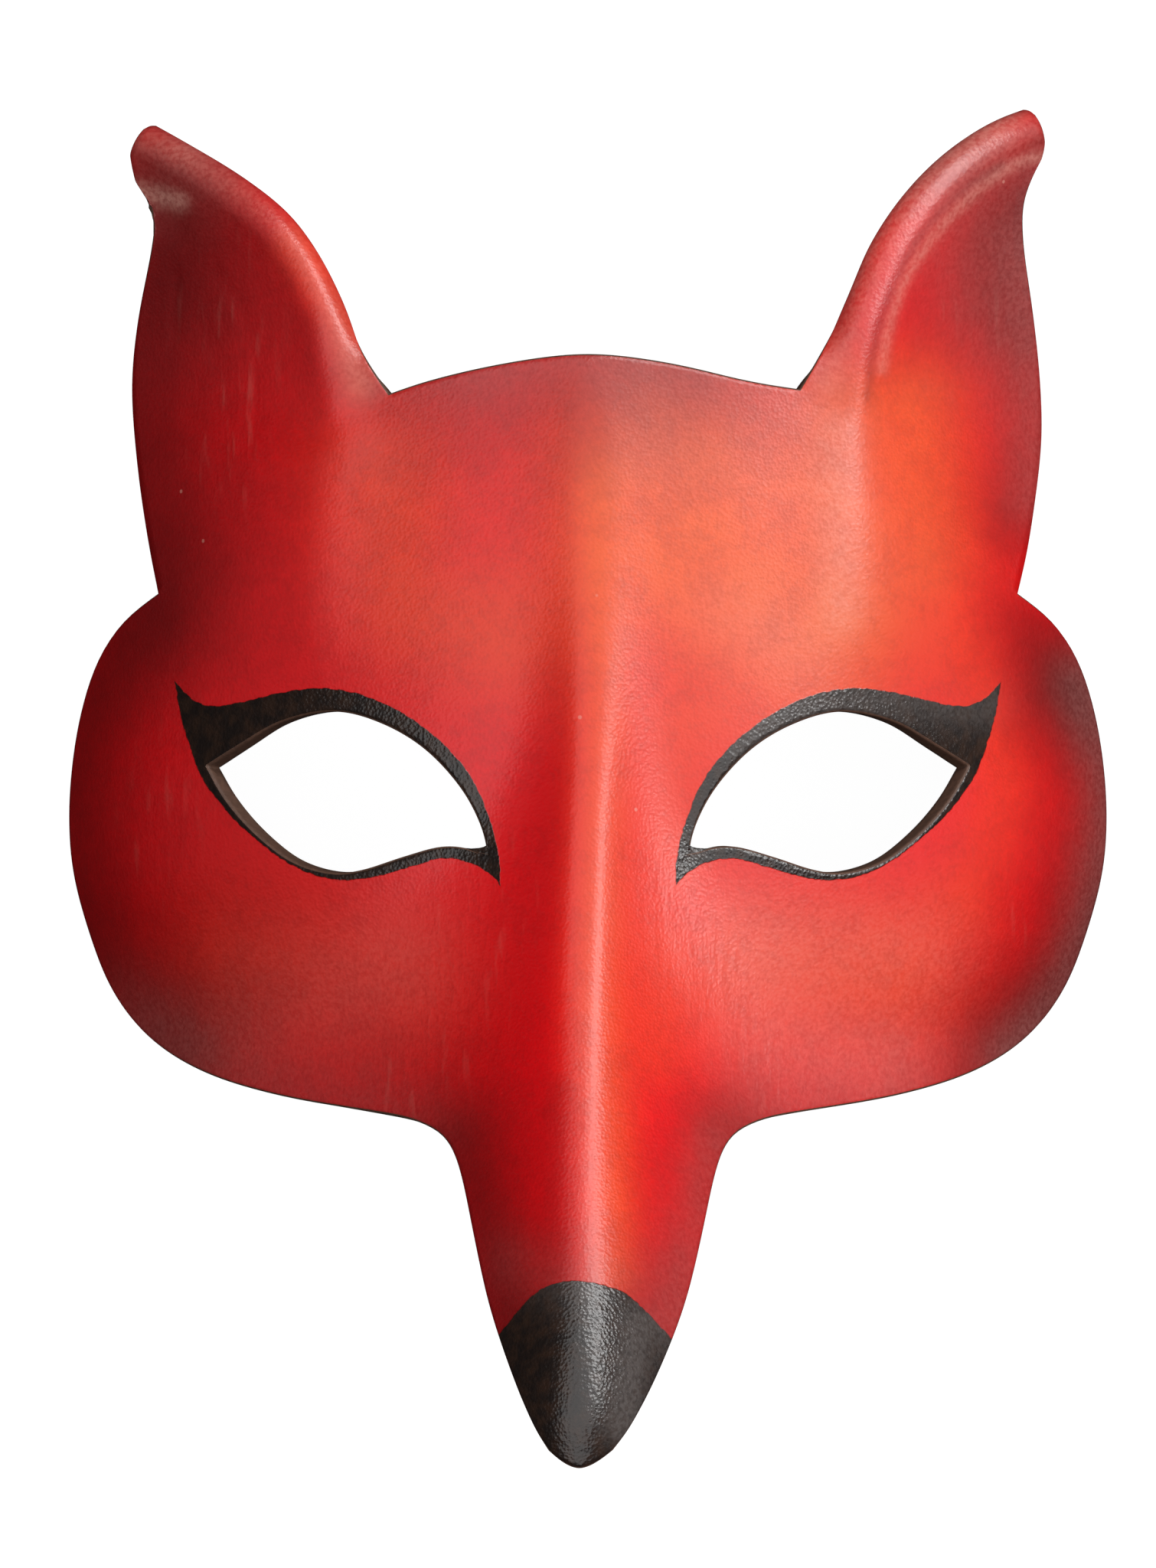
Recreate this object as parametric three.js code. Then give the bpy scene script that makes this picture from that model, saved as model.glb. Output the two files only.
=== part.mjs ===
// Fox half mask, wet moulded from one piece of thick leather and lying face up on its cheeks.
// Millimetres. X runs across the face, Y from the nose to the ears, and Z up out of the face.
// While it is drawn, X = 0 is the middle of the face and Y = 0 is the level of the eyes.
import * as THREE from 'three';

// The leather
const THICKNESS = 3.0;
const LEATHER_COLOUR = 0xc8382c;
const LEATHER_ROUGHNESS = 0.5;

// Flat outline of one half, from the notch under the ear round the cheek to the tip of the nose
const CHEEK_AND_SNOUT = [
  [64.9, 28.7], [69.7, 25.7], [74.5, 19], [77.5, 9.1], [78.8, -1], [78.5, -12.1], [76.1, -21.7],
  [72.4, -31.2], [67.2, -37.9], [58.7, -43.1], [46.6, -46.6], [33.8, -48.6], [25.7, -49.8], [22, -51.4],
  [20, -54.3], [18.6, -59.1], [17, -66.6], [14.7, -76.2], [11.8, -84.3], [8.2, -92.3],
  [4.8, -97.6], [0, -100.2], [-4.8, -97.6],
];
const EYE_CORNER_ABREAST = 4;
const SNOUT_ROOT = 13;
const NOSE_SIDE = 20;
const NOSE_TIP = 21;

// Flat outline of the brow, from left of the middle to the middle and on towards the notch
const BROW_TOP = 64.2;
const BROW_SHOULDERS = [[12.4, 62.8], [24.7, 60]];

// The ears: the rolled inner edge from the brow to the tip, and the thin outer edge from the cheek
const RIGHT_EAR = {
  side: 1,
  inner: [
    [31.6, 59], [33.1, 61.5], [36.3, 67.5], [39.3, 74.3], [42.1, 80.8], [47, 88.2],
    [53.2, 94.6], [60.7, 99.7], [65.6, 101.7],
  ],
  outer: [
    [64.9, 28.7], [66.2, 34.1], [67.4, 41], [68.7, 52.1], [68.4, 62.1], [67.2, 72], [65.8, 81],
    [65.6, 87.3], [66.6, 90.4], [68.5, 94],
  ],
};
const LEFT_EAR = {
  side: -1,
  inner: [
    [29.7, 58.3], [31.3, 60.6], [33.7, 64.6], [36.2, 71.4], [40.2, 79.4], [44.7, 85.5],
    [51.6, 91.1], [59.6, 96.1], [65.1, 99.3],
  ],
  outer: [
    [64.9, 28.7], [66.4, 36.1], [68.2, 48], [69.1, 60.6], [68.1, 70], [66.2, 79], [65.3, 84],
    [66.5, 87.8], [68.3, 90.5],
  ],
};

// Eye hole: the upper lid from the nose to the temple, and the lower lid the same way
const UPPER_LID = [
  [14.9, -10.7], [16, -6.3], [18.8, -0.9], [24.4, 5.2], [30.8, 9], [37.7, 10.8], [45.8, 9.3],
  [52.5, 5.6], [57.2, 2.7],
];
const LOWER_LID = [
  [14.9, -10.7], [18.2, -9.5], [21.8, -9.3], [27.8, -10.9], [33.7, -12.8], [37.7, -13.3], [43.8, -11.7],
  [49.8, -7.3], [54.5, -2], [57.2, 2.7],
];

// Heights above the table along Y: the crown of the domed face, its side, and the ridge from the
// brow to the tip of the nose. The half width is where the dome comes down to the height of its side.
const CROWN = [[-70, 43], [-50, 46.5], [-25, 49.5], [0, 50], [30, 48.5], [64.2, 43.5], [104, 39]];
const SIDE = [[-55, 7], [-38, 1.6], [-30, 0], [18, 0], [60, 3], [104, 6]];
const RIDGE = [
  [-100.2, 86.6], [-94, 87.6], [-86, 86.3], [-73, 81.6], [-49, 70.5], [-25, 61], [0, 55],
  [30, 50.3], [64.2, 43.8], [104, 36],
];
const HALF_WIDTH = [
  [-52, 69.6], [-38.2, 69.2], [-29.2, 73.6], [-21.7, 76.2], [-12, 78.5], [-1, 78.9], [9, 77.6],
  [18, 77.2], [40, 77.7], [104, 78],
];
const DOME_STEEPNESS = 0.85;

// The nose is a rounded tent along the ridge: how far its middle lies to the right, the slope of its
// flanks, how far out they begin to fall away, the breadth of its top, and how softly it runs out
// into the dome
const RIDGE_MIDDLE = [
  [-100.2, -0.6], [-90, -1], [-75, -1.3], [-45, -1.7], [-30, -1.5], [-10, -0.7], [12, 0.4], [30, 0.6],
];
const FLANK_SLOPE = [
  [-100.2, 1.15], [-74, 1.1], [-50, 1.03], [-35, 0.93], [-20, 0.9], [0, 0.9], [15, 0.75], [40, 0.4],
];
const FLANK_END = [[-40, 60], [0, 30], [20, 22]];
const RIDGE_BREADTH = [
  [-100.2, 5.5], [-85, 5.8], [-65, 6.1], [-45, 4.7], [-33, 3.9], [-20, 3.3], [0, 3], [30, 3.1],
];
const RIDGE_SQUARENESS = [[-85, 2.3], [-65, 2.5], [-45, 3], [-20, 4], [30, 4]];
const NOSE_BLEND = [[-60, 10], [-25, 9], [-5, 5], [15, 3.5], [40, 3]];
const NOSE_LEAN = -1.3;

// A line runs up the temple and on into the ear, where the leather turns down to the cheek and
// into the bowl of the ear: how much it rises to the line, and how far and soon it drops past it
const TEMPLE = [[43.5, 6], [43.2, 18], [43.3, 30], [42.5, 42], [41.9, 50]];
const TURN_RISE = [[8, 0], [30, 1.8], [48, 2], [58, 2.4], [70, 3.2], [104, 3.4]];
const TURN_INSIDE = [[8, 11], [30, 8.5], [48, 8], [58, 6], [104, 5]];
const TURN_OUTSIDE = 20;
const TURN_DROP = [[14, 0], [30, 1], [48, 3.6], [64, 5.5], [80, 5.2], [104, 3.5]];
const DROP_REACH = [[14, 17], [48, 13], [62, 9], [104, 8]];
const TURN_ROUNDING = [[20, 3], [48, 1.4], [62, 0.9], [104, 0.7]];
const TURN_LEAD = 1.5;
const EAR_EDGE_RISE = 1.6;
const TIP_BULGE = 1.3;
const TIP_ROUNDING = 1.2;
const BOWL_ROUNDING = 0.4;

// The rolled edge of the ear, from the brow to the tip: how far the turn lies from the edge, and how
// far the edge has rolled under. Across it the bend grows tighter from the turn to the edge.
const ROLL_REACH = [[0, 11.8], [0.1, 9.6], [0.28, 6.9], [0.5, 6.7], [0.8, 6.2], [1, 5.9]];
const ROLLED_UNDER = [[0, 0.1], [0.12, 0.9], [0.28, 1.35], [1, 1.4]];
const SLOPE_AT_TURN = 0.82;
const ROLL_TIGHTENING = 1.25;
const ROLL_STEPS = 24;
const ROLL_BEGINS = 0.25;

// The stretch of each cheek edge that is pressed flat where the mask lies on it
const REST_FROM = -29;
const REST_TO = 11;
const REST_REACH = 0.9;

// Number of faces along each stretch, and how they crowd towards its start
const RINGS = 10;
const RING_CROWDING = 0.085;
const BELOW_EYE = 9;
const LOWER_LID_SPACING = 1.12;
const ABOVE_EYE = 13;
const ACROSS_BROW = 7;
const ACROSS_ROLL = 6;
const ACROSS_BOWL = 8;
const BESIDE_EYE = 5;
const ROUND_CHEEK = 18;
const ACROSS_SNOUT = 8;
const SNOUT_SPACING = 1.25;
const BOWL_SPACING = 1.25;
const DOWN_SNOUT = 15;
const UP_EAR = 20;
const EAR_SPACING = 1.1;
const EYE_ABREAST_Y = -14;
const EVENING_ROUNDS = 80;
const SPLINE_SAMPLES = 40;
const JOINED_WITHIN = 0.001;

// A smooth curve of height or size through a few [place, value] pairs, with no overshoot
function table(pairs) {
  const slopes = pairs.slice(1).map(([x, y], i) => (y - pairs[i][1]) / (x - pairs[i][0]));
  const tangents = pairs.map((_, i) => {
    const before = slopes[i - 1] ?? 0;
    const after = slopes[i] ?? 0;
    return before * after > 0 ? (2 * before * after) / (before + after) : 0;
  });
  return (x) => {
    const place = THREE.MathUtils.clamp(x, pairs[0][0], pairs.at(-1)[0]);
    const i = Math.max(1, pairs.findIndex((pair) => pair[0] >= place)) - 1;
    const span = pairs[i + 1][0] - pairs[i][0];
    const t = (place - pairs[i][0]) / span;
    const bend = (t - 1) * t * span * ((t - 1) * tangents[i] + t * tangents[i + 1]);
    return pairs[i][1] + (pairs[i + 1][1] - pairs[i][1]) * t * t * (3 - 2 * t) + bend;
  };
}

const ridgeMiddleAt = table(RIDGE_MIDDLE);
const crownAt = table(CROWN);
const sideAt = table(SIDE);
const ridgeAt = table(RIDGE);
const flankSlopeAt = table(FLANK_SLOPE);
const flankEndAt = table(FLANK_END);
const halfWidthAt = table(HALF_WIDTH);
const ridgeBreadthAt = table(RIDGE_BREADTH);
const ridgeSquarenessAt = table(RIDGE_SQUARENESS);
const noseBlendAt = table(NOSE_BLEND);
const turnRiseAt = table(TURN_RISE);
const turnInsideAt = table(TURN_INSIDE);
const turnDropAt = table(TURN_DROP);
const dropReachAt = table(DROP_REACH);
const turnRoundingAt = table(TURN_ROUNDING);
const rollReachAt = table(ROLL_REACH);
const rolledUnderAt = table(ROLLED_UNDER);

const vector = ([x, y]) => new THREE.Vector3(x, y, 0);
const spline = (points) => new THREE.CatmullRomCurve3(points.map(vector), false, 'centripetal');
const between = (a, b, t) => new THREE.Vector3().lerpVectors(a, b, t);
const gradual = (t) => THREE.MathUtils.smoothstep(t, 0, 1);

// Evenly spaced points along a spline, from one of its control points to another
function stretch(points, from, to, count, spacing = (t) => t) {
  const curve = spline(points);
  const samples = SPLINE_SAMPLES * Math.abs(to - from);
  const fine = Array.from({ length: samples + 1 }, (_, i) => {
    const index = THREE.MathUtils.lerp(from, to, i / samples);
    return curve.getPoint(index / (points.length - 1));
  });
  const lengths = [0];
  fine.slice(1).forEach((point, i) => lengths.push(lengths[i] + point.distanceTo(fine[i])));
  return Array.from({ length: count + 1 }, (_, i) => {
    const wanted = spacing(i / count) * lengths.at(-1);
    const next = Math.max(1, lengths.findIndex((length) => length >= wanted - 1e-9));
    const t = (wanted - lengths[next - 1]) / (lengths[next] - lengths[next - 1]);
    return between(fine[next - 1], fine[next], t);
  });
}

function straight(a, b, count, spacing = 1) {
  return Array.from({ length: count + 1 }, (_, i) => between(a, b, (i / count) ** spacing));
}

// The rolled edge cut across: places from the turn to the edge, by how far over and up they are
function rollSection(along) {
  const reach = rollReachAt(along);
  const turned = SLOPE_AT_TURN + rolledUnderAt(along);
  const places = [{ over: 0, up: 0 }];
  for (let i = 0; i < ROLL_STEPS; i += 1) {
    const slope = SLOPE_AT_TURN - turned * ((i + 0.5) / ROLL_STEPS) ** ROLL_TIGHTENING;
    const { over, up } = places.at(-1);
    places.push({ over: over + Math.cos(slope), up: up + Math.sin(slope) });
  }
  const scale = reach / places.at(-1).over;
  return places.map(({ over, up }) => ({ over: over * scale, up: up * scale }));
}

// The turn of an ear beside its rolled edge, and the directions towards the edge and the tip there
function earTurn(ear) {
  const edge = spline(ear.inner);
  return (along) => {
    const tangent = edge.getTangentAt(along);
    const inward = new THREE.Vector3(-tangent.y, tangent.x, 0);
    const bulge = tangent.multiplyScalar(TIP_BULGE * along ** 8);
    const turn = edge.getPointAt(along).addScaledVector(inward, -rollReachAt(along)).add(bulge);
    return { turn, inward, bulge };
  };
}

// How far a point lies outside the line of the turn, from the temple to the tip of the ear
function turnDistance(ear) {
  const turnAt = earTurn(ear);
  const upEar = Array.from({ length: UP_EAR + 1 }, (_, i) => turnAt(i / UP_EAR).turn);
  const temple = TEMPLE.map(vector);
  const foot = stretch([...temple, upEar[0]].map((p) => [p.x, p.y]), 0, temple.length, UP_EAR);
  const line = [...foot.slice(0, -1), ...upEar];
  return (point) => {
    let nearest = Infinity;
    let signed = 0;
    for (let i = 1; i < line.length; i += 1) {
      const along = line[i].clone().sub(line[i - 1]);
      const offset = point.clone().sub(line[i - 1]).setZ(0);
      const t = THREE.MathUtils.clamp(offset.dot(along) / along.lengthSq(), 0, 1);
      const gap = offset.addScaledVector(along, -t);
      if (gap.length() < nearest) {
        nearest = gap.length();
        signed = nearest * Math.sign(gap.x * along.y - gap.y * along.x);
      }
    }
    return signed;
  };
}

// How far the flank of the nose has left its top: nothing in the middle, then as far as it is across
function pastRidge(point, side) {
  const across = Math.abs(side * point.x - ridgeMiddleAt(point.y));
  const breadth = ridgeBreadthAt(point.y);
  const squareness = ridgeSquarenessAt(point.y);
  return (across ** squareness + breadth ** squareness) ** (1 / squareness) - breadth;
}

// What the turn of the temple and ear adds to the dome, by how far a point lies outside its line
function turnShape(y, outside) {
  const width = outside < 0 ? turnInsideAt(y) : TURN_OUTSIDE;
  const rise = turnRiseAt(y) * Math.exp(-((outside / width) ** 2));
  const rounding = turnRoundingAt(y);
  const past = rounding * Math.log1p(Math.exp((outside + TURN_LEAD) / rounding));
  return rise - turnDropAt(y) * (1 - Math.exp(-past / dropReachAt(y)));
}

// Height of the outer face of the leather above the table
function heightOf(ear) {
  const distance = turnDistance(ear);
  const flat = Math.sqrt(1 - DOME_STEEPNESS ** 2);
  return (point) => {
    const across = Math.min(Math.abs(point.x) / halfWidthAt(point.y), 1);
    const fall = (1 - Math.sqrt(1 - (DOME_STEEPNESS * across) ** 2)) / (1 - flat);
    const dome = THREE.MathUtils.lerp(crownAt(point.y), sideAt(point.y), fall);
    const past = pastRidge(point, ear.side);
    const tent = ridgeAt(point.y) - flankSlopeAt(point.y) * past - (past / flankEndAt(point.y)) ** 4;
    const blend = noseBlendAt(point.y);
    const split = THREE.MathUtils.clamp((dome - tent) / blend, -1, 1);
    const face = Math.max(dome, tent) + (blend / 4) * (1 - Math.abs(split)) ** 2;
    return face + turnShape(point.y, distance(point));
  };
}

// The face around one eye, as rings that run from the hole to the outline
function eyeRings(ear, earFoot, snoutFoot, height) {
  const outline = [
    ...straight(snoutFoot[0], vector([0, EYE_ABREAST_Y]), BELOW_EYE).slice(0, -1),
    ...straight(vector([0, EYE_ABREAST_Y]), vector([0, BROW_TOP]), ABOVE_EYE).slice(0, -1),
    ...browEdge(ear).slice(0, -1),
    ...earFoot.slice(0, -1),
    ...stretch(CHEEK_AND_SNOUT, 0, EYE_CORNER_ABREAST, BESIDE_EYE).slice(0, -1),
    ...stretch(CHEEK_AND_SNOUT, EYE_CORNER_ABREAST, SNOUT_ROOT, ROUND_CHEEK).slice(0, -1),
    ...snoutFoot.toReversed(),
  ];
  const overEye = ABOVE_EYE + ACROSS_BROW + ACROSS_ROLL + ACROSS_BOWL + BESIDE_EYE;
  const underEye = outline.length - 1 - overEye;
  const upper = stretch(UPPER_LID, 0, UPPER_LID.length - 1, overEye);
  const lower = stretch(LOWER_LID, 0, LOWER_LID.length - 1, underEye, (t) => t ** LOWER_LID_SPACING);
  const hole = [
    ...lower.slice(0, BELOW_EYE + 1).toReversed(),
    ...upper.slice(1),
    ...lower.slice(BELOW_EYE, -1).toReversed(),
  ];
  return Array.from({ length: RINGS + 1 }, (_, ring) => {
    const t = ring / RINGS;
    const spaced = t - RING_CROWDING * Math.sin(2 * Math.PI * t);
    return hole.map((start, i) => {
      const point = between(start, outline[i], spaced);
      return point.setZ(height(point));
    });
  });
}

function browEdge(ear) {
  const mirrored = [-BROW_SHOULDERS[0][0], BROW_SHOULDERS[0][1]];
  return stretch([mirrored, [0, BROW_TOP], ...BROW_SHOULDERS, ear.inner[0]], 1, 4, ACROSS_BROW);
}

// The foot of the ear, from the notch at the brow across the turn to the notch at the cheek
function earFootOf(ear) {
  const { turn } = earTurn(ear)(0);
  const roll = straight(vector(ear.inner[0]), turn, ACROSS_ROLL);
  const bowl = Array.from({ length: ACROSS_BOWL }, (_, i) =>
    between(turn, vector(ear.outer[0]), ((i + 1) / ACROSS_BOWL) ** BOWL_SPACING));
  return [...roll, ...bowl];
}

// One ear: rows across it, from the edge of the roll over the turn and the bowl to the thin edge
function earRows(ear, earFoot, height) {
  const turnAt = earTurn(ear);
  const outer = stretch(ear.outer, 0, ear.outer.length - 1, UP_EAR, (t) => t ** EAR_SPACING);
  return Array.from({ length: UP_EAR + 1 }, (_, row) => {
    if (row === 0) return earFoot.map((point) => point.clone().setZ(height(point)));
    const along = (row / UP_EAR) ** EAR_SPACING;
    const { turn, inward, bulge } = turnAt(along);
    const section = rollSection(along);
    const rolled = Array.from({ length: ACROSS_ROLL }, (_, i) => {
      const outward = 1 - i / ACROSS_ROLL;
      const { over, up } = section[Math.round(ROLL_STEPS * outward)];
      const rounding = TIP_ROUNDING * outward * (1 - outward) - outward ** 4;
      const point = turn.clone().addScaledVector(inward, over).addScaledVector(bulge, rounding);
      const begun = gradual(along / ROLL_BEGINS);
      return point.setZ(THREE.MathUtils.lerp(height(point), height(turn) + up, begun));
    });
    const bowl = Array.from({ length: ACROSS_BOWL + 1 }, (_, i) => {
      const across = (i / ACROSS_BOWL) ** BOWL_SPACING;
      const point = between(turn, outer[row], across);
      point.addScaledVector(bulge, BOWL_ROUNDING * across * (1 - across));
      const rise = EAR_EDGE_RISE * across ** 3 * gradual(along) * (1 - along ** 6);
      return point.setZ(height(point) + rise);
    });
    return [...rolled, ...bowl];
  });
}

// Spaces a grid evenly, by moving each inner point to the middle of its neighbours again and again
function evened(rows) {
  for (let round = 0; round < EVENING_ROUNDS; round += 1) {
    for (let row = 1; row < rows.length - 1; row += 1) {
      for (let i = 1; i < rows[row].length - 1; i += 1) {
        const across = between(rows[row][i - 1], rows[row][i + 1], 0.5);
        const down = between(rows[row - 1][i], rows[row + 1][i], 0.5);
        rows[row][i] = between(across, down, 0.5);
      }
    }
  }
  return rows;
}

// Half of the snout, as rows from its root to the rounded tip
function snoutRows(snoutFoot, height) {
  const edge = stretch(CHEEK_AND_SNOUT, SNOUT_ROOT, NOSE_SIDE, DOWN_SNOUT);
  const tip = stretch(CHEEK_AND_SNOUT, NOSE_TIP, NOSE_SIDE, ACROSS_SNOUT, (t) => t ** SNOUT_SPACING);
  const rows = edge.map((side, row) => {
    const down = row / DOWN_SNOUT;
    const middle = between(snoutFoot[0], tip[0], down);
    return snoutFoot.map((foot, i) => {
      if (row === 0) return foot;
      if (row === DOWN_SNOUT) return tip[i];
      return between(middle, side, (i / ACROSS_SNOUT) ** SNOUT_SPACING);
    });
  });
  return evened(rows).map((row) => row.map((point) => point.clone().setZ(height(point))));
}

// Collects the faces of the outer side, with points that fall together joined
class OuterSide {
  points = [];
  faces = [];
  known = new Map();

  index(point) {
    const key = point.toArray().map((value) => Math.round(value / JOINED_WITHIN)).join();
    if (!this.known.has(key)) this.known.set(key, this.points.push(point) - 1);
    return this.known.get(key);
  }

  addGrid(rows, side, turned) {
    const placed = rows.map((row) => row.map((point) => this.index(toSide(point, side))));
    for (let row = 1; row < placed.length; row += 1) {
      for (let i = 1; i < placed[row].length; i += 1) {
        const face = [placed[row - 1][i - 1], placed[row - 1][i], placed[row][i], placed[row][i - 1]];
        this.faces.push(turned === side > 0 ? face.toReversed() : face);
      }
    }
  }
}

// Puts a point of the drawn half on its own side, and leans the snout a little to the left
function toSide(point, side) {
  const down = Math.max(CHEEK_AND_SNOUT[SNOUT_ROOT][1] - point.y, 0);
  const length = CHEEK_AND_SNOUT[SNOUT_ROOT][1] - CHEEK_AND_SNOUT[NOSE_TIP][1];
  const lean = NOSE_LEAN * (down / length) ** 3;
  return new THREE.Vector3(side * point.x + lean, point.y, point.z);
}

function outerSide() {
  const outer = new OuterSide();
  const [rootX, rootY] = CHEEK_AND_SNOUT[SNOUT_ROOT];
  const root = [vector([0, rootY - 1]), vector([rootX, rootY])];
  const snoutFoot = straight(...root, ACROSS_SNOUT, SNOUT_SPACING);
  [RIGHT_EAR, LEFT_EAR].forEach((ear) => {
    const height = heightOf(ear);
    const earFoot = earFootOf(ear);
    outer.addGrid(eyeRings(ear, earFoot, snoutFoot, height), ear.side, false);
    outer.addGrid(earRows(ear, earFoot, height), ear.side, false);
    outer.addGrid(snoutRows(snoutFoot, height), ear.side, true);
  });
  return outer;
}

// The leather's direction out of the face at each point, from the faces that meet there
function directions({ points, faces }) {
  const sums = points.map(() => new THREE.Vector3());
  faces.forEach((face) => {
    face.forEach((index, i) => {
      const next = points[face[(i + 1) % 4]].clone().sub(points[index]);
      const last = points[face[(i + 3) % 4]].clone().sub(points[index]);
      const normal = next.cross(last).normalize();
      sums[index].addScaledVector(normal, 1);
    });
  });
  return sums.map((sum) => sum.normalize());
}

// Edges that only one face uses: the cut edge all round, and the two eye holes
function cutEdges(faces) {
  const edges = new Map();
  faces.forEach((face) => {
    face.forEach((start, i) => {
      const end = face[(i + 1) % 4];
      const reverse = `${end},${start}`;
      if (edges.has(reverse)) edges.delete(reverse);
      else edges.set(`${start},${end}`, [start, end]);
    });
  });
  return [...edges.values()];
}

// The leather: an outer side, an inner side one thickness behind it, and the cut edge between
function leatherShell() {
  const outer = outerSide();
  const out = directions(outer);
  const inner = outer.points.map((point, i) => point.clone().addScaledVector(out[i], -THICKNESS));
  const edges = cutEdges(outer.faces);
  edges.flat().forEach((i) => {
    const point = outer.points[i];
    const onCheek = Math.abs(point.x) > REST_REACH * halfWidthAt(point.y);
    const onRest = onCheek && point.y > REST_FROM && point.y < REST_TO;
    if (onRest) point.setZ(0);
    if (onRest || inner[i].z < 0) inner[i].setZ(0);
  });
  const count = outer.points.length;
  const quads = [
    ...outer.faces,
    ...outer.faces.map((face) => face.map((i) => i + count).toReversed()),
    ...edges.map(([start, end]) => [end, start, start + count, end + count]),
  ];
  const geometry = new THREE.BufferGeometry();
  const points = [...outer.points, ...inner];
  const triangles = quads.flatMap(([a, b, c, d]) => (
    points[a].distanceTo(points[c]) > points[b].distanceTo(points[d])
      ? [a, b, c, a, c, d]
      : [a, b, d, b, c, d]
  ));
  geometry.setAttribute('position', new THREE.Float32BufferAttribute(
    points.flatMap((point) => point.toArray()),
    3,
  ));
  geometry.setIndex(triangles);
  geometry.computeVertexNormals();
  return geometry;
}

// The origin is in the middle of the base
function centred(geometry) {
  geometry.computeBoundingBox();
  const { min, max } = geometry.boundingBox;
  geometry.translate(-(min.x + max.x) / 2, -(min.y + max.y) / 2, -min.z);
  return geometry;
}

const leather = new THREE.MeshStandardMaterial({
  color: LEATHER_COLOUR,
  roughness: LEATHER_ROUGHNESS,
  metalness: 0,
  side: THREE.DoubleSide,
});
const shell = new THREE.Mesh(centred(leatherShell()), leather);
shell.name = 'leather_mask';

const mask = new THREE.Group();
mask.name = 'fox_mask';
mask.add(shell);

export default mask;
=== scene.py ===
import math

import bmesh
import bpy
import numpy as np
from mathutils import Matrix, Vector


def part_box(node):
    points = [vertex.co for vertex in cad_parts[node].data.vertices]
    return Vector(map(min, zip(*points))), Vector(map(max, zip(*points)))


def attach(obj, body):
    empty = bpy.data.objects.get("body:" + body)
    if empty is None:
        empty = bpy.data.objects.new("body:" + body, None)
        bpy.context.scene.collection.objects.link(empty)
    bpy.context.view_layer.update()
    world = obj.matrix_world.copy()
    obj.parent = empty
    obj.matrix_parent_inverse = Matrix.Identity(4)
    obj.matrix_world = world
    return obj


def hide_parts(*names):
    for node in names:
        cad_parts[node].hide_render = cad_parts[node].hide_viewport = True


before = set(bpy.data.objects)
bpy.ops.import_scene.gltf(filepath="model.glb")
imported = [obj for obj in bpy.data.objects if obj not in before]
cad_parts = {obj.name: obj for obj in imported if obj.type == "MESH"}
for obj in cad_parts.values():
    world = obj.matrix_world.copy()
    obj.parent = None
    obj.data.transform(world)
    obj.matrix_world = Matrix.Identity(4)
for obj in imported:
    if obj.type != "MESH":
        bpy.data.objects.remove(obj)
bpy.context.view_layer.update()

MM = 0.001

# The drawing of the mask has X = 0 in its middle and Y = 0 at the level of the eyes, in millimetres
NOSE_TIP_TO_EYE_LEVEL = 100.2 * MM
low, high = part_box("leather_mask")
EYE_LEVEL = low[1] + NOSE_TIP_TO_EYE_LEVEL

# Finishes of the leather, as places in the piece's list of materials
PAINTED, CUT, FLESH = range(3)

# How the loose triangles of the solid become four-sided faces again
JOIN_WITHIN = 0.001 * MM
PAIR_LIMITS = [(math.radians(60), math.radians(120)), (math.radians(80), math.radians(160))]
SHARP_EDGE = math.radians(43)
EDGE_ROUNDING = 0.25 * MM
KEPT_CORNER = math.radians(35)
FINER_STEPS = 2
LEAST_RELIEF = 0.002 * MM
SAME_GAP = 1e-9


# The shape of the leather


def tell_sides_apart(cage):
    """Gives the outer side, the flesh side and the cut edges of the leather their own finish.

    The outer side is all that is reached from its highest face without crossing a sharp edge, and
    the faces that meet it there are the cut edges.
    """
    outer = {max(cage.faces, key=lambda face: face.calc_center_median().z)}
    waiting = list(outer)
    while waiting:
        for edge in waiting.pop().edges:
            if edge.calc_face_angle() < SHARP_EDGE:
                found = set(edge.link_faces) - outer
                outer |= found
                waiting.extend(found)
    for face in cage.faces:
        beside = {other for edge in face.edges for other in edge.link_faces}
        face.material_index = PAINTED if face in outer else CUT if beside & outer else FLESH
        face.smooth = True


def soften_cut_edges(cage):
    """Rounds both corners of every cut edge a little, as a burnisher leaves them.

    The edges of the rounding are creased, so that the finer mesh doesn't shrink from the outline.
    """
    corners = [
        edge
        for edge in cage.edges
        if {face.material_index for face in edge.link_faces} & {CUT}
        and len({face.material_index for face in edge.link_faces}) == 2
    ]
    made = bmesh.ops.bevel(
        cage,
        geom=corners,
        offset=EDGE_ROUNDING,
        offset_type="OFFSET",
        segments=1,
        profile=0.5,
        affect="EDGES",
        clamp_overlap=False,
        material=CUT,
    )
    rounding = set(made["faces"])
    crease = cage.edges.layers.float.new("crease_edge")
    for edge in cage.edges:
        beside = len(rounding & set(edge.link_faces)) == 1
        on_cut = all(face.material_index == CUT for face in edge.link_faces)
        if beside or (on_cut and edge.calc_face_angle() > KEPT_CORNER):
            edge[crease] = 1.0


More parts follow.
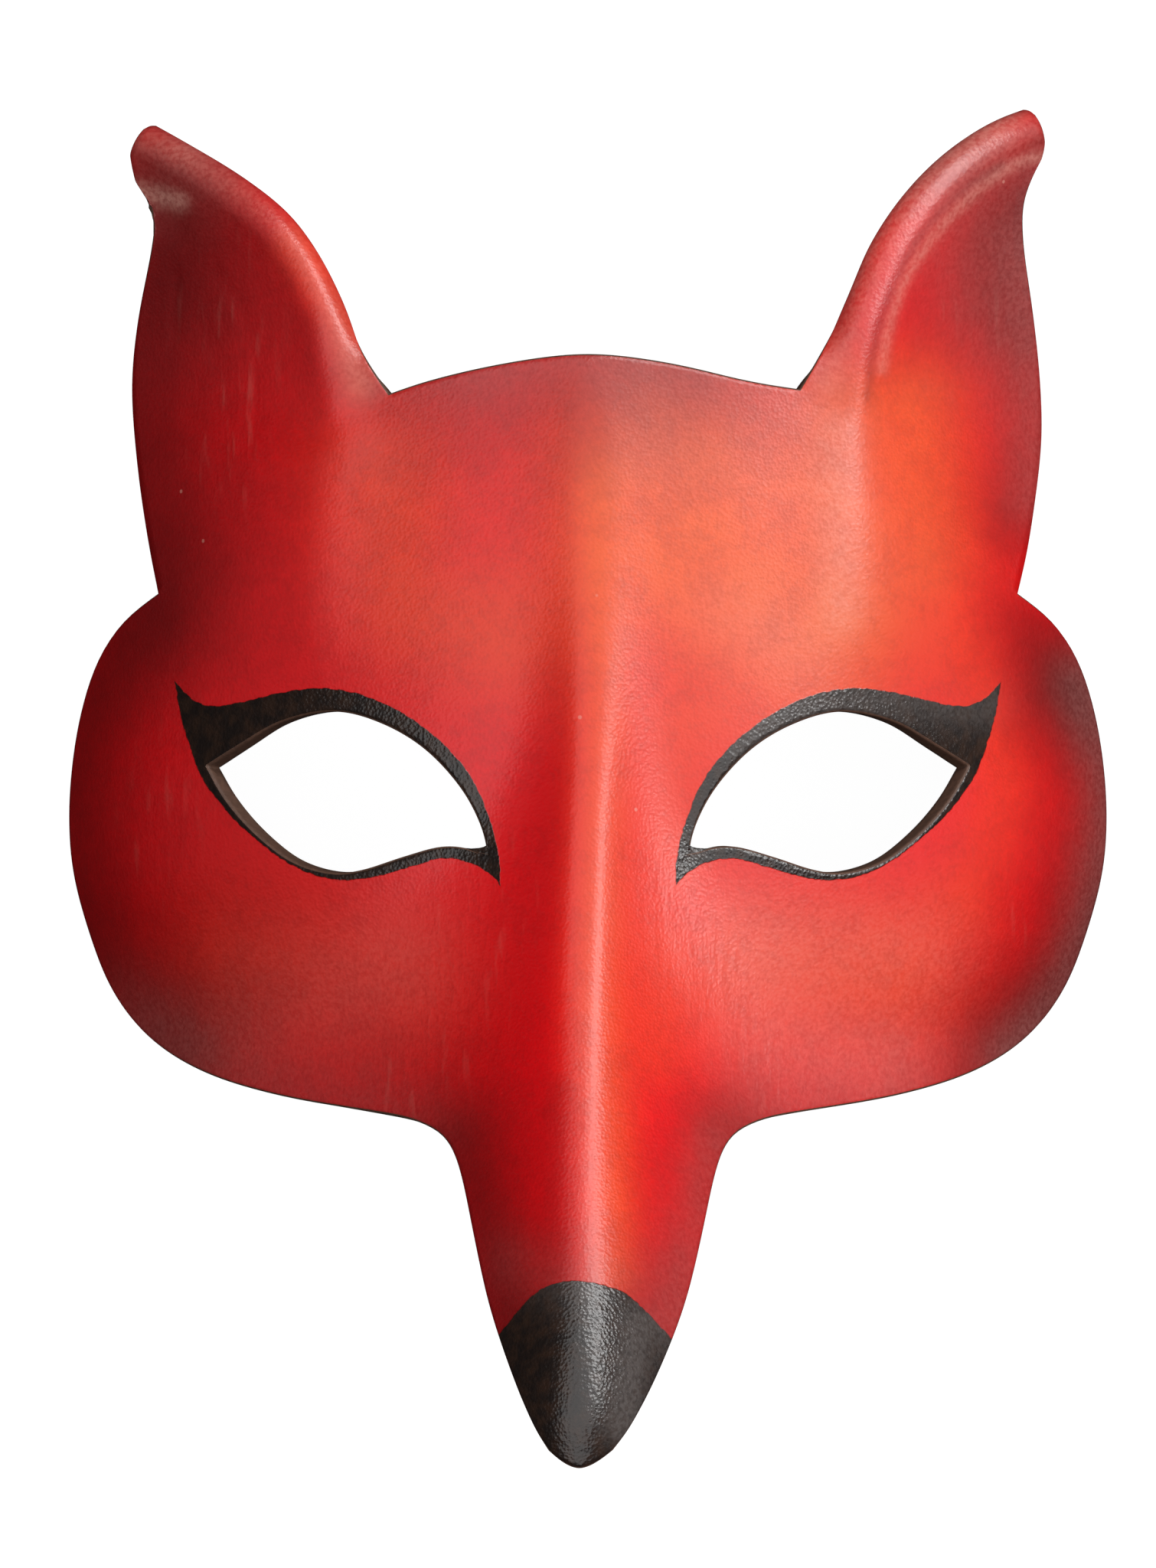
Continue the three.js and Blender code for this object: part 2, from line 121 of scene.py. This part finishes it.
def mask_from_solid(finishes):
    """The leather as one smooth mesh that keeps the form of the CAD solid."""
    cage = bmesh.new()
    cage.from_mesh(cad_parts["leather_mask"].data)
    bmesh.ops.remove_doubles(cage, verts=cage.verts, dist=JOIN_WITHIN)
    for fold, skew in PAIR_LIMITS:
        loose = [face for face in cage.faces if len(face.verts) == 3]
        bmesh.ops.join_triangles(
            cage, faces=loose, angle_face_threshold=fold, angle_shape_threshold=skew
        )
    tell_sides_apart(cage)
    soften_cut_edges(cage)
    mesh = bpy.data.meshes.new("fox_mask")
    for material in finishes:
        mesh.materials.append(material)
    cage.to_mesh(mesh)
    cage.free()
    mask = bpy.data.objects.new("fox_mask", mesh)
    bpy.context.scene.collection.objects.link(mask)
    finer = mask.modifiers.new("finer", "SUBSURF")
    finer.levels = finer.render_levels = FINER_STEPS
    evaluated = mask.evaluated_get(bpy.context.evaluated_depsgraph_get())
    smooth_mesh = bpy.data.meshes.new_from_object(evaluated)
    mask.modifiers.clear()
    mask.data = smooth_mesh
    smooth_mesh.name = "fox_mask"
    return mask


# Lines on the drawing of the mask, and the dye, painted light and painted shade that are laid on by
# them


def curve_through(places, steps=8):
    """A smooth line through a few places, as closely spaced points."""
    places = [np.array(place, float) for place in places]
    ends = [2 * places[0] - places[1], *places, 2 * places[-1] - places[-2]]
    line = []
    for before, start, end, after in zip(ends, ends[1:], ends[2:], ends[3:]):
        for step in range(steps):
            t = step / steps
            line.append(
                start
                + 0.5 * t * (end - before)
                + t * t * (before - 2.5 * start + 2 * end - 0.5 * after)
                + t**3 * 0.5 * (3 * (start - end) + after - before)
            )
    line.append(places[-1])
    return np.array(line)


def distance_to_line(points, line):
    """How far each point lies from a line, and on which side: positive to its right."""
    nearest = np.full(len(points), np.inf)
    side = np.zeros(len(points))
    for start, end in zip(line[:-1], line[1:]):
        along = end - start
        offset = points - start
        t = np.clip(offset @ along / (along @ along), 0, 1)
        gap = np.linalg.norm(offset - t[:, None] * along, axis=1)
        closer = gap < nearest - SAME_GAP
        nearest[closer] = gap[closer]
        cross = offset[:, 1] * along[0] - offset[:, 0] * along[1]
        side[closer] = -np.sign(cross[closer])
    return nearest, side


def extended(line, length):
    """A line drawn on straight at both ends."""
    before = line[0] - line[1]
    after = line[-1] - line[-2]
    first = line[0] + length * before / np.linalg.norm(before)
    last = line[-1] + length * after / np.linalg.norm(after)
    return np.vstack([first, line, last])


# The painted line round the eye, from its inner tail over and under the eye to the tip of the wing
LINE_OVER_EYE = [
    (13.1, -15.0), (13.1, -11.8), (14.3, -6.2), (17.3, 0.8), (21.8, 6.2), (27.7, 10.6),
    (33.7, 13.3), (39.7, 14.3), (45.7, 13.7), (51.8, 12.3), (56.4, 11.7), (59.5, 12.8), (62.1, 15.3),
]
LINE_UNDER_EYE = [
    (13.1, -15.0), (14.3, -13.6), (17.3, -11.8), (21.8, -11.1), (27.7, -12.7), (33.7, -14.2),
    (39.7, -13.9), (45.7, -11.3), (51.8, -6.5), (54.9, -3.2), (58.0, 1.1), (60.0, 6.2),
    (61.3, 10.5), (62.1, 15.3),
]
NOSE_LINE = [
    (-13.2, -81.1), (-10.3, -77.3), (-7.3, -74.4), (-4.4, -73.2), (-2.0, -72.8), (0.0, -73.0),
    (2.9, -73.7), (5.9, -75.1), (8.8, -77.8), (11.7, -80.9),
]
LINE_RUNS_ON = 12

# Strokes that darken the red: the line they follow, how wide they are, and how much they darken. Most
# are darker dye; the stroke left of the ridge is painted shade where the ridge turns away from the
# light, and the one beside the right roll is painted shade in the valley of the roll
DARK_STROKES = [
    ("brow", [(-20, 66), (-6, 67), (8, 66)], 20, 0.42),
    ("brow to the right", [(8, 66), (26, 64)], 13, 0.32),
    ("brow to the left", [(-30, 63), (-18, 64)], 9, 0.2),
    ("left ear", [(-66, 38), (-69, 50), (-69, 65), (-65, 82)], 15, 0.64),
    ("left ear up to its tip", [(-60, 74), (-62, 90), (-56, 94)], 11, 0.36),
    ("right ear", [(67, 42), (69, 55), (68, 66), (66, 82)], 10, 0.6),
    ("right ear up to its tip", [(60, 74), (62, 90), (56, 94)], 13, 0.5),
    ("tip of the right ear", [(67, 88), (69, 96)], 4, 0.45),
    # Painted shade in the valley beside the right roll
    (
        "beside the right roll",
        [(41.8, 58), (43, 66.5), (46, 75.5), (50, 82.4), (56, 88.8), (62, 93)],
        0.8,
        0.3,
    ),
    ("left cheek", [(-66, 24), (-76, 10), (-79, -6), (-74, -26), (-63, -40)], 10, 0.6),
    ("right cheek", [(74, 14), (80, 4), (81, -8), (76, -26), (66, -41)], 11, 0.88),
    ("above the right cheek", [(66, 24), (74, 16)], 6, 0.3),
    ("under the left cheek", [(-63, -42), (-47, -48), (-30, -51)], 11, 0.36),
    ("under the right cheek", [(63, -44), (45, -50), (26, -52)], 11, 0.36),
    # This stroke makes the left of the snout darker than the right
    ("left of the snout", [(-19, -53), (-15, -66), (-11, -80)], 7.5, 0.6),
    ("right of the snout", [(20, -53), (16, -66), (11, -80)], 7, 0.46),
    ("behind the black nose", [(-10, -80), (-1, -77), (9, -79)], 9, 0.3),
    # Painted shade on the left turn of the ridge, which faces away from the light
    ("left of the ridge", [(-4.5, -46), (-4.5, -72)], 3, 0.3),
]

# Strokes of painted light: an orange that stands for the warmer colour of the leather where the light
# falls, mostly on the right and along the ridge of the nose
LIT_ORANGE_STROKES = [
    ("right of the forehead", [(14, 34), (32, 24)], 17, 0.75),
    ("right temple", [(38, 56), (38, 26)], 7, 0.55),
    ("right brow", [(8, 50), (28, 46)], 12, 0.45),
    ("ridge of the nose", [(2, 46), (2.5, 10), (1.5, -30), (3, -55), (3.5, -72)], 4, 0.45),
    ("right flank of the nose", [(10, 8), (10, -40)], 5, 0.14),
    ("right ear", [(49, 57), (50, 34)], 8, 0.5),
    ("right cheek", [(22, -26), (44, -28)], 12, 0.3),
    ("right of the eye", [(56, 20), (62, 0), (56, -18)], 6, 0.15),
    ("beside the right eye", [(16, 8), (14, -10)], 6, 0.15),
    ("left of the forehead", [(-14, 22), (-27, 28), (-30, 46)], 10, 0.28),
    ("left roll", [(-34, 60), (-38, 71), (-44, 81)], 3, 0.3),
    ("left cheek", [(-30, -28), (-52, -26)], 12, 0.1),
]

# Strokes that turn the dark dye and the black paint grey: partly a grey haze on the dye, partly
# painted sheen on the lit right side, as under the right cheek, to the right of the black nose and on
# the line over the right eye
GREY_AND_SHEEN_STROKES = [
    ("under the left cheek", [(-66, -36), (-50, -44), (-30, -47)], 9, 0.8),
    ("right cheek", [(76, 16), (79, -4), (74, -28), (64, -42)], 6, 0.85),
    ("under the right cheek", [(46, -44), (30, -46)], 8, 0.7),
    ("right edge of the ear", [(68, 44), (69, 60), (66, 80)], 6, 0.9),
    ("brow", [(-28, 62), (0, 66), (28, 62)], 9, 0.8),
    ("tip of the left ear", [(-56, 93), (-66, 96)], 8, 0.9),
    ("tip of the right ear", [(50, 88), (66, 99)], 9, 0.9),
    ("right of the snout", [(17, -54), (13, -78)], 6, 0.8),
    ("left of the snout", [(-10, -70), (-4, -72), (4, -72)], 5, 0.4),
    ("right bowl", [(52, 84), (58, 70), (62, 56)], 8, 0.5),
    ("right of the black nose", [(7, -80), (5, -94)], 3, 0.9),
    ("line over the right eye", [(22, 8), (38, 13), (60, 12)], 4, 0.6),
]

# Strokes where the leather is finely wrinkled
WRINKLED = [
    ("left of the nose", [(-15, -16), (-20, -30), (-27, -44)], 7, 1.0),
    ("right of the nose", [(15, -16), (20, -30), (27, -44)], 7, 1.0),
    ("left bowl", [(-53, 48), (-53, 62), (-57, 80)], 6, 1.0),
    ("right bowl", [(54, 80), (60, 62)], 7, 0.6),
    ("left cheek", [(-60, 6), (-66, -12)], 6, 0.5),
    ("right cheek", [(60, -20), (48, -34)], 9, 0.5),
]

# Strokes of painted highlight and sheen: a pale colour laid along the rolls of the ears, the right
# temple, brow and cheeks, the strip beside the right roll and the patch under the left tip, where the
# light catches the leather
HIGHLIGHT_STROKES = [
    ("right temple", [(37, 52), (38, 26)], 4, 0.22),
    ("right brow", [(10, 50), (30, 46)], 8, 0.05),
    ("over the right eye", [(20, 26), (34, 18)], 6, 0.08),
    ("right cheek", [(26, -24), (50, -26)], 9, 0.12),
    ("under the right cheek", [(26, -38), (44, -41)], 8, 0.1),
    ("left cheek", [(-28, -28), (-50, -32)], 10, 0.08),
    ("left roll", [(-34, 60), (-38, 71), (-43, 80.5), (-51, 88), (-61, 94.5)], 2.4, 0.12),
    ("right roll", [(36, 60), (40, 72), (45.5, 82), (53, 91), (62, 98)], 2.6, 0.16),
    ("edge of the right roll", [(38, 74), (43, 83.5), (50, 91.5), (58, 98), (64, 101)], 1.8, 0.25),
    ("tip of the left ear", [(-60, 95), (-67, 97)], 2.5, 0.15),
    ("tip of the right ear", [(58, 96), (67, 99)], 3, 0.06),
    (
        "beside the right roll",
        [
            (44, 62), (45, 68), (47.5, 75.4), (51.4, 81.6),
            (55.4, 86.2), (60.3, 90.7), (65, 93.6), (68.5, 94.6),
        ],
        0.9,
        0.26,
    ),
    ("under the left tip", [(-68, 89.5), (-61.5, 87.6)], 1.5, 0.5),
]

# Ridges and creases pressed into the leather: the line, the half width, and the height in millimetres
PRESSED = [
    (
        "ridge beside the right roll",
        [(43.5, 62), (44.5, 68), (47, 75.8), (51, 82.2), (55, 86.8), (60, 91.2)],
        0.9,
        0.1,
    ),
    ("crease in the left bowl", [(-56, 77), (-51.5, 70), (-49.8, 62), (-50.4, 51)], 0.8, -0.09),
    ("second crease in the left bowl", [(-59, 70), (-55, 62), (-54, 50)], 0.8, -0.06),
    ("short crease in the left bowl", [(-62, 77), (-62.4, 66)], 0.6, -0.15),
    ("hollow under the left tip", [(-62, 84), (-65, 87)], 2.2, -0.4),
]


def strokes_over(points, strokes):
    """How much of each point is left uncovered by a set of soft strokes."""
    left = np.ones(len(points))
    for _, places, width, strength in strokes:
        gap, _ = distance_to_line(points, curve_through(places))
        left *= 1 - strength * np.exp(-((gap / width) ** 2))
    return left


def drawn_places(mesh):
    """Where each point of the leather lies on the drawing of the mask."""
    places = np.empty(len(mesh.vertices) * 3)
    mesh.vertices.foreach_get("co", places)
    return places.reshape(-1, 3)[:, :2] / MM - (0, EYE_LEVEL / MM)


def press_creases(mesh):
    """Raises the leather along the pressed ridges and lowers it along the creases."""
    points = drawn_places(mesh)
    raised = np.zeros(len(points))
    for _, places, width, height in PRESSED:
        gap, _ = distance_to_line(points, curve_through(places))
        raised += height * MM * np.exp(-((gap / width) ** 2))
    for vertex, height in zip(mesh.vertices, raised):
        if abs(height) > LEAST_RELIEF and vertex.normal.z > 0:
            vertex.co += vertex.normal * height


def lay_out_dye_and_painted_light(mesh):
    """Gives each point of the leather its dye, its painted light and shade, and its distance from the
    painted lines.
    """
    points = drawn_places(mesh)
    halves = np.column_stack([np.abs(points[:, 0]), points[:, 1]])
    over, over_side = distance_to_line(halves, extended(curve_through(LINE_OVER_EYE), LINE_RUNS_ON))
    under, under_side = distance_to_line(halves, extended(curve_through(LINE_UNDER_EYE), LINE_RUNS_ON))
    nose, nose_side = distance_to_line(points, extended(curve_through(NOSE_LINE), LINE_RUNS_ON))
    paint = np.column_stack([over * over_side, -under * under_side, nose * nose_side])
    dye_and_painted_light = np.column_stack(
        [
            strokes_over(points, DARK_STROKES),
            1 - strokes_over(points, LIT_ORANGE_STROKES),
            1 - strokes_over(points, GREY_AND_SHEEN_STROKES),
        ]
    )
    # A vector has three places, and the painted highlights and wrinkles need only two of them
    highlight_and_wrinkles = np.column_stack(
        [
            1 - strokes_over(points, HIGHLIGHT_STROKES),
            1 - strokes_over(points, WRINKLED),
            np.zeros(len(points)),
        ]
    )
    for name, values in (("paint", paint), ("dye_and_painted_light", dye_and_painted_light), ("highlight_and_wrinkles", highlight_and_wrinkles)):
        layer = mesh.attributes.new(name, "FLOAT_VECTOR", "POINT")
        layer.data.foreach_set("vector", values.ravel())


# Materials

# Noise seldom leaves this range
NOISE_SPREAD = (0.3, 0.7)

RED_DYE = (0.66, 0.0015, 0.0045)
# Painted light: the orange of the leather where the light falls on it
LIT_ORANGE = (0.72, 0.10, 0.012)
# The darkest dye, also used for the painted shade
DARKEST_DYE_AND_SHADE = (0.035, 0.004, 0.004)
# A grey haze over the dark dye, partly painted sheen
GREY_HAZE_AND_SHEEN = (0.13, 0.055, 0.05)
# Pale leather for the specks and wrinkle lines, and the colour of the painted highlights
PALE_LEATHER_AND_HIGHLIGHT = (0.66, 0.30, 0.24)
FRESH_PAINT = (0.012, 0.008, 0.007)
BROWNISH_PAINT = (0.028, 0.014, 0.009)
# Lighter grey black paint, a painted sheen where the light catches it on the right
GREY_PAINT_AND_SHEEN = (0.075, 0.062, 0.058)
BURNISHED_EDGE = (0.04, 0.02, 0.014)
PALE_FIBRES = (0.14, 0.07, 0.045)
TAN_FLESH = (0.34, 0.19, 0.10)
PALE_FLESH = (0.48, 0.30, 0.17)
FLESH_NAP = (0.2, 0.11, 0.06)


class Finish:
    """A material and the few kinds of node that the leather's finishes are put together from."""

    def __init__(self, name):
        self.material = bpy.data.materials.new(name)
        self.material.use_nodes = True
        self.tree = self.material.node_tree
        self.shader = self.tree.nodes["Principled BSDF"]
        self.places = self.tree.nodes.new("ShaderNodeTexCoord").outputs["Object"]

    def join(self, value, socket):
        if isinstance(value, bpy.types.NodeSocket):
            self.tree.links.new(value, socket)
        elif value is not None:
            socket.default_value = (*value, 1) if isinstance(value, tuple) else value

    def set(self, **values):
        for name, value in values.items():
            self.join(value, self.shader.inputs[name.replace("_", " ")])

    def mirrored(self, lean, stretch):
        """Places that are the same on both halves of the mask, turned and drawn out lengthwise."""
        parts = self.tree.nodes.new("ShaderNodeSeparateXYZ")
        self.join(self.places, parts.inputs[0])
        half = self.tree.nodes.new("ShaderNodeCombineXYZ")
        self.join(self.math("ABSOLUTE", parts.outputs["X"]), half.inputs["X"])
        self.join(parts.outputs["Y"], half.inputs["Y"])
        place = self.tree.nodes.new("ShaderNodeMapping")
        place.inputs["Rotation"].default_value = (0, 0, lean)
        place.inputs["Scale"].default_value = (1, 1 / stretch, 1)
        self.join(half.outputs[0], place.inputs["Vector"])
        return place.outputs["Vector"]

    def noise(self, size_mm, detail=3.0, roughness=0.5, places=None):
        node = self.tree.nodes.new("ShaderNodeTexNoise")
        self.join(places or self.places, node.inputs["Vector"])
        node.inputs["Scale"].default_value = 1 / (size_mm * MM)
        node.inputs["Detail"].default_value = detail
        node.inputs["Roughness"].default_value = roughness
        return node.outputs["Fac"]

    def cells(self, size_mm):
        node = self.tree.nodes.new("ShaderNodeTexVoronoi")
        self.join(self.places, node.inputs["Vector"])
        node.inputs["Scale"].default_value = 1 / (size_mm * MM)
        return node.outputs["Distance"]

    def times(self, first, second):
        return self.math("MULTIPLY", first, second)

    def varied(self, pattern, least, most):
        """A number that follows a noise pattern from its dark spots to its light ones."""
        return self.between(pattern, *NOISE_SPREAD, least, most)

    def math(self, operation, first, second=None):
        node = self.tree.nodes.new("ShaderNodeMath")
        node.operation = operation
        self.join(first, node.inputs[0])
        self.join(second, node.inputs[1])
        return node.outputs[0]

    def between(self, value, low, high, start=0.0, end=1.0):
        node = self.tree.nodes.new("ShaderNodeMapRange")
        node.interpolation_type = "SMOOTHSTEP"
        for socket, number in zip(node.inputs, (value, low, high, start, end)):
            self.join(number, socket)
        return node.outputs["Result"]

    def blend(self, amount, first, second, kind="MIX"):
        node = self.tree.nodes.new("ShaderNodeMix")
        node.data_type = "RGBA"
        node.blend_type = kind
        self.join(amount, node.inputs["Factor"])
        self.join(first, node.inputs[6])
        self.join(second, node.inputs[7])
        return node.outputs[2]

    def attribute(self, name):
        node = self.tree.nodes.new("ShaderNodeAttribute")
        node.attribute_name = name
        parts = self.tree.nodes.new("ShaderNodeSeparateXYZ")
        self.join(node.outputs["Vector"], parts.inputs[0])
        return parts.outputs

    def raised(self, height, depth_mm, under=None):
        node = self.tree.nodes.new("ShaderNodeBump")
        node.inputs["Distance"].default_value = depth_mm * MM
        self.join(height, node.inputs["Height"])
        self.join(under, node.inputs["Normal"])
        return node.outputs["Normal"]


def painted_leather():
    finish = Finish("painted_leather")
    dark, lit_orange, grey_and_sheen = finish.attribute("dye_and_painted_light")
    over, under, nose = finish.attribute("paint")
    painted_highlight, wrinkled, _ = finish.attribute("highlight_and_wrinkles")

    mottle = finish.noise(9, 4)
    speckle = finish.noise(0.7, 4)
    blotch = finish.noise(2.2, 5, 0.6)
    # The orange strokes are painted light, warmer where the light falls
    lit_orange_mottled = finish.times(lit_orange, finish.varied(mottle, 0.92, 1.08))
    red_and_lit_orange = finish.blend(lit_orange_mottled, RED_DYE, LIT_ORANGE)
    clouded = finish.times(dark, finish.varied(mottle, 0.93, 1.05))
    blotched = finish.times(clouded, finish.varied(blotch, 0.93, 1.05))
    grained = finish.times(blotched, finish.varied(speckle, 0.93, 1.05))
    # The grey strokes are partly a grey haze and partly painted sheen
    speckled_grey_and_sheen = finish.times(grey_and_sheen, finish.varied(speckle, 0.6, 1.3))
    # Dye with the painted light and shade laid over it
    dyed_and_painted_light = finish.blend(grained, finish.blend(speckled_grey_and_sheen, DARKEST_DYE_AND_SHADE, GREY_HAZE_AND_SHEEN), red_and_lit_orange)
    speck = finish.between(finish.cells(13), 0.015, 0.03, 0.4, 0.0)
    lines = finish.noise(1.5, 3, 0.5, finish.mirrored(math.radians(25), 7))
    scratched = finish.times(finish.between(lines, 0.55, 0.75, 0.0, 0.12), wrinkled)
    # The pale strokes are painted highlights and sheen; the specks and wrinkle lines share their
    # colour
    speckled_highlight = finish.times(painted_highlight, finish.varied(speckle, 0.6, 1.4))
    flecks_and_highlight = finish.math("MAXIMUM", finish.math("MAXIMUM", speck, speckled_highlight), scratched)
    flecked_and_highlit = finish.blend(flecks_and_highlight, dyed_and_painted_light, PALE_LEATHER_AND_HIGHLIGHT)

    line = finish.math("MINIMUM", over, under)
    ragged = finish.varied(finish.noise(1.2, 2), -0.08, 0.08)
    inside = finish.math("ADD", finish.math("MAXIMUM", line, nose), ragged)
    black = finish.between(inside, -0.1, 0.1)
    fresh = finish.blend(finish.between(blotch, 0.35, 0.7), FRESH_PAINT, BROWNISH_PAINT)
    # On the black paint the grey strokes lay a painted sheen, to the right of the nose and over the
    # right eye
    colour = finish.blend(black, flecked_and_highlit, finish.blend(speckled_grey_and_sheen, fresh, GREY_PAINT_AND_SHEEN))

    grain = finish.math("ADD", finish.cells(0.5), finish.noise(0.8, 4))
    coarse = finish.between(black, 0.0, 1.0, 1.0, 2.2)
    creased = finish.raised(finish.times(lines, wrinkled), 0.14)
    finish.set(
        Base_Color=colour,
        Roughness=finish.between(black, 0.0, 1.0, 0.33, 0.26),
        Specular_IOR_Level=finish.between(black, 0.0, 1.0, 0.6, 0.75),
        Normal=finish.raised(finish.times(grain, coarse), 0.03, creased),
    )
    return finish.material


def cut_edge():
    finish = Finish("cut_edge")
    fibres = finish.noise(0.7, 4)
    finish.set(
        Base_Color=finish.blend(fibres, BURNISHED_EDGE, PALE_FIBRES),
        Roughness=0.55,
        Normal=finish.raised(fibres, 0.05),
    )
    return finish.material


def flesh_side():
    finish = Finish("flesh_side")
    nap = finish.noise(0.6, 5, 0.6)
    tan = finish.blend(finish.noise(14, 4), TAN_FLESH, PALE_FLESH)
    finish.set(
        Base_Color=finish.blend(finish.varied(nap, 0, 0.35), tan, FLESH_NAP),
        Roughness=0.9,
        Normal=finish.raised(nap, 0.12),
    )
    return finish.material


mask = mask_from_solid([painted_leather(), cut_edge(), flesh_side()])
press_creases(mask.data)
lay_out_dye_and_painted_light(mask.data)
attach(mask, "root")
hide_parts("leather_mask")

# Floor, light and camera

CAMERA_HEIGHT = 2.4
SHARPEST_HEIGHT = 0.025
IMAGE_HEIGHT = 2048
PIXEL_SIZE = 0.115 * MM
VIEW_HEIGHT = IMAGE_HEIGHT * PIXEL_SIZE
FRAME_MIDDLE_X = -1.5 * MM
SENSOR_HEIGHT = 24.0
FARTHEST_VIEW = 20
FLOOR_SIZE = 3.0
FLOOR_DROP = 0.0005
FLOOR_GREY = (0.15, 0.15, 0.15)
FLOOR_GLOW = 0.97
WHITE = (1.0, 1.0, 1.0)
AMBIENT_LIGHT = 0.01


def floor():
    sheet = bmesh.new()
    bmesh.ops.create_grid(sheet, x_segments=1, y_segments=1, size=FLOOR_SIZE)
    mesh = bpy.data.meshes.new("floor")
    sheet.to_mesh(mesh)
    sheet.free()
    ground = bpy.data.objects.new("floor", mesh)
    ground.location.z = -FLOOR_DROP
    bpy.context.scene.collection.objects.link(ground)
    finish = Finish("floor")
    finish.set(
        Base_Color=FLOOR_GREY,
        Roughness=0.8,
        Specular_IOR_Level=0.0,
        Emission_Color=WHITE,
        Emission_Strength=FLOOR_GLOW,
    )
    mesh.materials.append(finish.material)
    ground.visible_glossy = False
    ground.visible_diffuse = False


def softbox(name, place, size, watts, aim=(0, 0, 0.03)):
    light = bpy.data.lights.new(name, "AREA")
    light.shape = "RECTANGLE"
    light.size, light.size_y = size
    light.energy = watts
    lamp = bpy.data.objects.new(name, light)
    lamp.location = place
    lamp.rotation_euler = (Vector(aim) - Vector(place)).to_track_quat("-Z", "Y").to_euler()
    bpy.context.scene.collection.objects.link(lamp)
    return lamp


def camera():
    lens = bpy.data.cameras.new("camera")
    lens.sensor_fit = "VERTICAL"
    lens.sensor_height = SENSOR_HEIGHT
    lens.lens = SENSOR_HEIGHT * CAMERA_HEIGHT / VIEW_HEIGHT
    lens.clip_end = FARTHEST_VIEW
    eye = bpy.data.objects.new("camera", lens)
    eye.location = (FRAME_MIDDLE_X, EYE_LEVEL, CAMERA_HEIGHT + SHARPEST_HEIGHT)
    bpy.context.scene.collection.objects.link(eye)
    bpy.context.scene.camera = eye


floor()
softbox("key", place=(0.88, 0.9, 1.0), size=(1.5, 0.34), watts=15)
softbox("overhead", place=(0.38, 0.5, 3.0), size=(4.7, 6.2), watts=108)
for name, side, watts in (("left fill", -1, 9), ("right fill", 1, 25)):
    fill = softbox(name, place=(1.8 * side, 0.0, 0.9), size=(1.2, 2.4), watts=watts)
    fill.visible_glossy = False
camera()
world = bpy.data.worlds.new("studio")
world.use_nodes = True
background = world.node_tree.nodes["Background"]
background.inputs["Color"].default_value = (*WHITE, 1)
background.inputs["Strength"].default_value = AMBIENT_LIGHT
bpy.context.scene.world = world
bpy.context.scene.view_settings.view_transform = "Standard"
